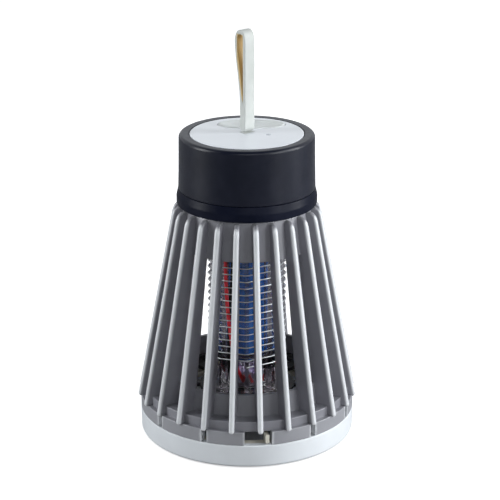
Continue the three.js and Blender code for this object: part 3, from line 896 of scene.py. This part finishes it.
def smooth_route(stops, steps=8):
    """A centripetal curve through (radius, azimuth, z) stops."""
    knots = [Vector(polar(*stop)) for stop in stops]
    ends = [2 * knots[0] - knots[1], *knots, 2 * knots[-1] - knots[-2]]
    points = []
    for p0, p1, p2, p3 in zip(ends, ends[1:], ends[2:], ends[3:]):
        t1 = math.sqrt((p1 - p0).length)
        t2 = t1 + math.sqrt((p2 - p1).length)
        t3 = t2 + math.sqrt((p3 - p2).length)
        for i in range(steps):
            t = t1 + (t2 - t1) * i / steps
            a1 = p0.lerp(p1, t / t1)
            a2 = p1.lerp(p2, (t - t1) / (t2 - t1))
            a3 = p2.lerp(p3, (t - t2) / (t3 - t2))
            b1 = a1.lerp(a2, t / t2)
            b2 = a2.lerp(a3, (t - t1) / (t3 - t1))
            points.append(b1.lerp(b2, (t - t1) / (t2 - t1)))
    return points + [knots[-1]]


def make_leads():
    red = wire("lead_red", smooth_route(RED_ROUTE), 0.75, sides=16)
    dress(red, RED_INSULATION, "red_insulation", "lantern", "wire_red")
    black = wire("lead_black", smooth_route(BLACK_ROUTE), 0.7, sides=16)
    dress(black, BLACK_INSULATION, "black_insulation", "lantern", "wire_black")


SLEEVES = [
    ((-1.6, -8.4, 23.0), (-0.9, -8.2, 26.0)),
    ((0.9, -8.5, 26.2), (2.2, -8.6, 23.0)),
    ((6.2, -6.4, 22.9), (7.5, -5.4, 25.8)),
]


def make_sleeves():
    """Short red sleeves on the lamps' legs."""
    pieces = [wire("sleeve", [Vector(a), Vector(b)], 0.6, sides=16) for a, b in SLEEVES]
    dress(join("lamp_sleeves", pieces), RED_INSULATION, "red_insulation", "lantern")


# ---------- head ----------


def make_collar():
    """The flared foot of the head, closed below except for its bore."""
    bottom, seam = 100.0, 106.5
    radius = COLLAR_RADIUS
    outline = filleted(
        [
            (10.3, bottom, 0.2),
            (17.9, bottom, 0.2),
            (17.9, COLLAR_FOOT, 0.2),
            (19.4, COLLAR_FOOT, 0.2),
            (19.4, bottom, 0.2),
            (radius - 0.1, bottom, 0.7),
            (radius - 0.08, bottom + 3.4, 3.0),
            (radius - 0.8, seam - 0.1, 0.25),
            (24.7, seam - 0.1, 0.2),
            (24.7, COLLAR_LIP, 0.2),
            (23.4, COLLAR_LIP, 0.2),
            (23.4, bottom + 2.4, 0.3),
            (10.3, bottom + 2.4, 0.2),
        ]
    )
    dress(lathe("collar", outline), COLLAR_BLACK, "black_plastic", "lantern", "head_base")


def make_shell():
    """The drum of the head, with a recess for the top plate and a port at the rear."""
    bore = 26.0
    recess = PLATE_RADIUS + 0.3
    shelf = PLATE_BOTTOM - 0.3
    outline = filleted(
        [
            (bore, SHELL_BOTTOM, 0.2),
            (SHELL_RADIUS, SHELL_BOTTOM, 0.25),
            (SHELL_RADIUS - 0.25, 116.5, 20),
            (27.75, HEAD_TOP, 1.5),
            (recess, HEAD_TOP, 0.3),
            (recess, shelf, 0.1),
            (22.4, shelf, 0.1),
            (22.4, shelf - 1.6, 0.2),
            (bore, shelf - 1.6, 0.3),
        ],
        steps=8,
    )
    shell = lathe("shell", outline)
    port = slab("port", [(-5.9, 110.9), (5.9, 110.9), (5.9, 119.2), (-5.9, 119.2)], -30, -24, 0.2)
    port.data.transform(Matrix.Rotation(math.pi / 2, 4, "X"))
    dress(cut(shell, port), HEAD_BLACK, "black_plastic", "lantern", "head_shell")


def strap_slot(grow):
    """The strap's section at the top plate, larger by grow all round."""
    depth, width = STRAP_HALF + grow, STRAP_WIDTH / 2 + grow
    turn = Matrix.Rotation(math.radians(STRAP_TURN), 2)
    corners = [(depth, width), (depth, -width), (-depth, -width), (-depth, width)]
    return [tuple(turn @ Vector(c) + Vector(STRAP_CENTRE)) for c in corners]


def make_plate():
    """The top plate, with holes for the button, the strap and the light pipe."""
    middle = (BUTTON_LOW + BUTTON_HIGH) / 2
    radii = tuple(radius + 0.06 for radius in BUTTON_RADII)
    holes = [
        oval(middle[:2], radii, BUTTON_SQUARENESS),
        strap_slot(0.15),
        circle(LENS_RADIUS + 0.08, LENS_CENTRE, 32),
    ]
    plate = slab("plate_disc", circle(PLATE_RADIUS, count=SEGMENTS), PLATE_BOTTOM, HEAD_TOP, 0.35, holes)
    dress(plate, WHITE_GLOSS, "white_plastic", "lantern", "top_plate")


def make_button():
    """A soft oval with a rim and a dished middle, on its stem."""
    middle = (BUTTON_LOW + BUTTON_HIGH) / 2
    top, bottom = BUTTON_HIGH.z, PLATE_BOTTOM - 1.3
    count = 128
    rings = [(1.0, bottom), (1.0, top - 0.7), (0.985, top - 0.25), (0.955, top - 0.03), (0.925, top)]
    for i in range(1, 13):
        share = 1 - i / 13
        rings.append((0.925 * share, top - BUTTON_DISH * (1 - share**3)))
    verts, faces = [], []
    for scale, z in rings:
        radii = tuple(radius * scale for radius in BUTTON_RADII)
        for x, y in oval(middle[:2], radii, BUTTON_SQUARENESS, count):
            verts.append((x, y, z))
    for ring in range(len(rings) - 1):
        for i in range(count):
            j = (i + 1) % count
            a, b = ring * count, (ring + 1) * count
            faces.append((a + i, a + j, b + j, b + i))
    faces.append(tuple(range(count)))
    faces.append(tuple((len(rings) - 1) * count + i for i in range(count)))
    cap = solid_from("cap", verts, faces)
    foot, head = BUTTON_LOW.z, bottom + 0.3
    stem_outline = filleted([(0, foot, 0), (2.0, foot, 0.3), (2.0, head, 0), (0, head, 0)])
    stem = lathe("stem", stem_outline, tuple(middle[:2]), 32)
    dress(join("soft_button", [cap, stem]), SOFT_WHITE, "silicone", "button", "power_button")


def make_lens():
    low, high = node_box("indicator_lens")
    outline = filleted(
        [(0, low.z, 0), (LENS_RADIUS, low.z, 0.2), (LENS_RADIUS, high.z, 0.35), (0, high.z, 0)]
    )
    pipe = lathe("light_pipe", outline, LENS_CENTRE, 48)
    dress(pipe, INDICATOR, "clear_plastic", "lantern", "indicator_lens")


def make_strap():
    """A band that swells into a teardrop loop, drawn in (u, z) and turned to its azimuth."""
    half, axis, top = STRAP_HALF, STRAP_AXIS, STRAP_TOP
    outline = [(half, axis), (half, top - 5.6)]
    outline += bezier((half, top - 5.6), (half, top - 1.6), (0.5, top), (-1.5, top))
    outline += bezier((-1.5, top), (-3.7, top), (-4.95, top - 2.0), (-4.95, top - 5.2))
    outline += bezier((-4.95, top - 5.2), (-4.95, top - 13), (-half, top - 22), (-half, top - 33))
    outline += [(-half, axis)]
    foot_angles = [math.pi * (1 + i / 12) for i in range(1, 12)]
    outline += [(half * math.cos(a), axis + half * math.sin(a)) for a in foot_angles]
    hole = [(0.15, 142.0)]
    hole += bezier((0.15, 142.0), (-0.5, 152), (-3.25, 160), (-3.25, top - 5.4), 24)
    hole += bezier((-3.25, top - 5.4), (-3.25, top - 2.9), (-2.7, top - 1.75), (-1.6, top - 1.75))
    hole += bezier((-1.6, top - 1.75), (-0.5, top - 1.75), (0.05, top - 3.0), (0.05, top - 5.8))
    stand = Matrix.Rotation(math.radians(STRAP_TURN), 4, "Z") @ Matrix.Rotation(math.pi / 2, 4, "X")
    place = Matrix.Translation((STRAP_CENTRE[0] * MM, STRAP_CENTRE[1] * MM, 0)) @ stand
    strap = slab("strap_loop", outline, -STRAP_WIDTH / 2, STRAP_WIDTH / 2, 0.35, [hole], place)
    dress(strap, SILICONE, "silicone", "strap", "hang_strap")


def make_flap():
    outline = sector(FLAP_LOW.y + 0.6, FLAP_HIGH.y, 180 - 11.4, 180 + 11.4, 20)
    flap = slab("flap", outline, FLAP_LOW.z, FLAP_HIGH.z, 0.3)
    dress(flap, RUBBER, "dark_rubber", "cover", "usb_cover")


# ---------- CAD nodes that keep their shape ----------


def finish_cad_nodes():
    """Finishes for the CAD nodes whose shape is already right."""
    kept = {
        "battery_tab_positive": NICKEL,
        "battery_tab_negative": NICKEL,
        "grid_terminal_a": NICKEL,
        "grid_terminal_b": NICKEL,
        "hv_lead_a": BLACK_INSULATION,
        "hv_lead_b": BLACK_INSULATION,
        "uv_led_board": LAMP_BOARD,
        "main_pcb": CIRCUIT_BOARD,
        "hv_transformer": AMBER_TAPE,
        "hv_capacitor": AMBER_TAPE,
        "tact_switch": DARK_PLASTIC,
        "indicator_led": UV_LENS,
        "usb_socket": NICKEL,
        "head_seal": RUBBER,
        "strap_foot": SILICONE,
    }
    for i in range(1, 5):
        kept[f"uv_led_{i}"] = UV_LENS
    for i in range(1, 4):
        kept[f"head_screw_{i}"] = SCREW_STEEL
        kept[f"pcb_screw_{i}"] = SCREW_STEEL
        kept[f"former_screw_{i}"] = SCREW_STEEL
    for name, material in kept.items():
        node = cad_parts[name]
        node.data.materials.clear()
        node.data.materials.append(material)


# ---------- floor, light and camera ----------


def make_floor():
    """Pale paper that looks white, and throws back only a little light on the object."""
    mesh = bpy.data.meshes.new("floor")
    size = 6.0
    corners = [(-size, -size, 0), (size, -size, 0), (size, size, 0), (-size, size, 0)]
    mesh.from_pydata(corners, [], [(0, 1, 2, 3)])
    floor = link("floor", mesh)
    shader = Shader("floor_paper")
    seen = shader.add("LightPath").outputs["Is Camera Ray"]
    pale = shader.blend(shader.noise(60.0), (0.90, 0.90, 0.90, 1.0), (0.92, 0.92, 0.92, 1.0))
    dim = (FLOOR_BOUNCE, FLOOR_BOUNCE, FLOOR_BOUNCE, 1.0)
    shader.principled(
        Base_Color=shader.blend(seen, dim, pale),
        Roughness=1.0,
        Specular_IOR_Level=0.0,
        Emission_Color=(1.0, 1.0, 1.0, 1.0),
        Emission_Strength=shader.span(seen, 0.0, 1.0, 0.0, FLOOR_GLOW),
    )
    mesh.materials.append(shader.material)


def soft_light(name, azimuth, elevation, distance, size, power):
    """A rectangular softbox that faces the middle of the object."""
    light = bpy.data.lights.new(name, "AREA")
    light.shape = "RECTANGLE"
    light.size, light.size_y = size
    light.energy = power
    light.color = COOL_WHITE
    lamp = link(name, light)
    spread = distance * math.cos(math.radians(elevation))
    height = LIGHT_AIM + distance * math.sin(math.radians(elevation))
    lamp.location = polar(spread, azimuth, height)
    aim = Vector((0, 0, LIGHT_AIM)) - lamp.location
    lamp.rotation_mode = "QUATERNION"
    lamp.rotation_quaternion = aim.to_track_quat("-Z", "Y")


def make_light():
    """Softboxes on both sides, stronger at the right, and a pale wall behind."""
    for name, setting in SOFTBOXES.items():
        soft_light(name, *setting)
    world = bpy.data.worlds.new("studio")
    world.use_nodes = True
    tree = world.node_tree
    direction = tree.nodes.new("ShaderNodeTexCoord")
    split = tree.nodes.new("ShaderNodeSeparateXYZ")
    wall = tree.nodes.new("ShaderNodeMapRange")
    wall.inputs["From Max"].default_value = 0.5
    wall.inputs["To Max"].default_value = WALL_LIGHT
    tree.links.new(direction.outputs["Generated"], split.inputs["Vector"])
    tree.links.new(split.outputs["Y"], wall.inputs["Value"])
    background = tree.nodes["Background"]
    background.inputs["Color"].default_value = (*COOL_WHITE, 1.0)
    tree.links.new(wall.outputs["Result"], background.inputs["Strength"])
    bpy.context.scene.world = world
    bpy.context.scene.view_settings.view_transform = "Standard"


def make_camera():
    camera = bpy.data.cameras.new("camera")
    camera.sensor_width = 36.0
    camera.lens = CAMERA_LENS
    camera.clip_start = 0.01
    seat = link("camera", camera)
    seat.location = polar(CAMERA_DISTANCE, CAMERA_AZIMUTH, CAMERA_HEIGHT)
    seat.rotation_euler = (math.radians(CAMERA_TILT), 0.0, math.radians(CAMERA_AZIMUTH + CAMERA_PAN))
    bpy.context.scene.camera = seat


make_camera()
make_tray()
make_foot()
make_lock()
make_cage()
make_cage_floor()
make_former()
make_winding("winding_a", "grid_wire_a", 0)
make_winding("winding_b", "grid_wire_b", 180)
make_cell()
make_leads()
make_sleeves()
make_collar()
make_shell()
make_plate()
make_button()
make_lens()
make_strap()
make_flap()
finish_cad_nodes()
make_floor()
make_light()

bpy.context.view_layer.update()
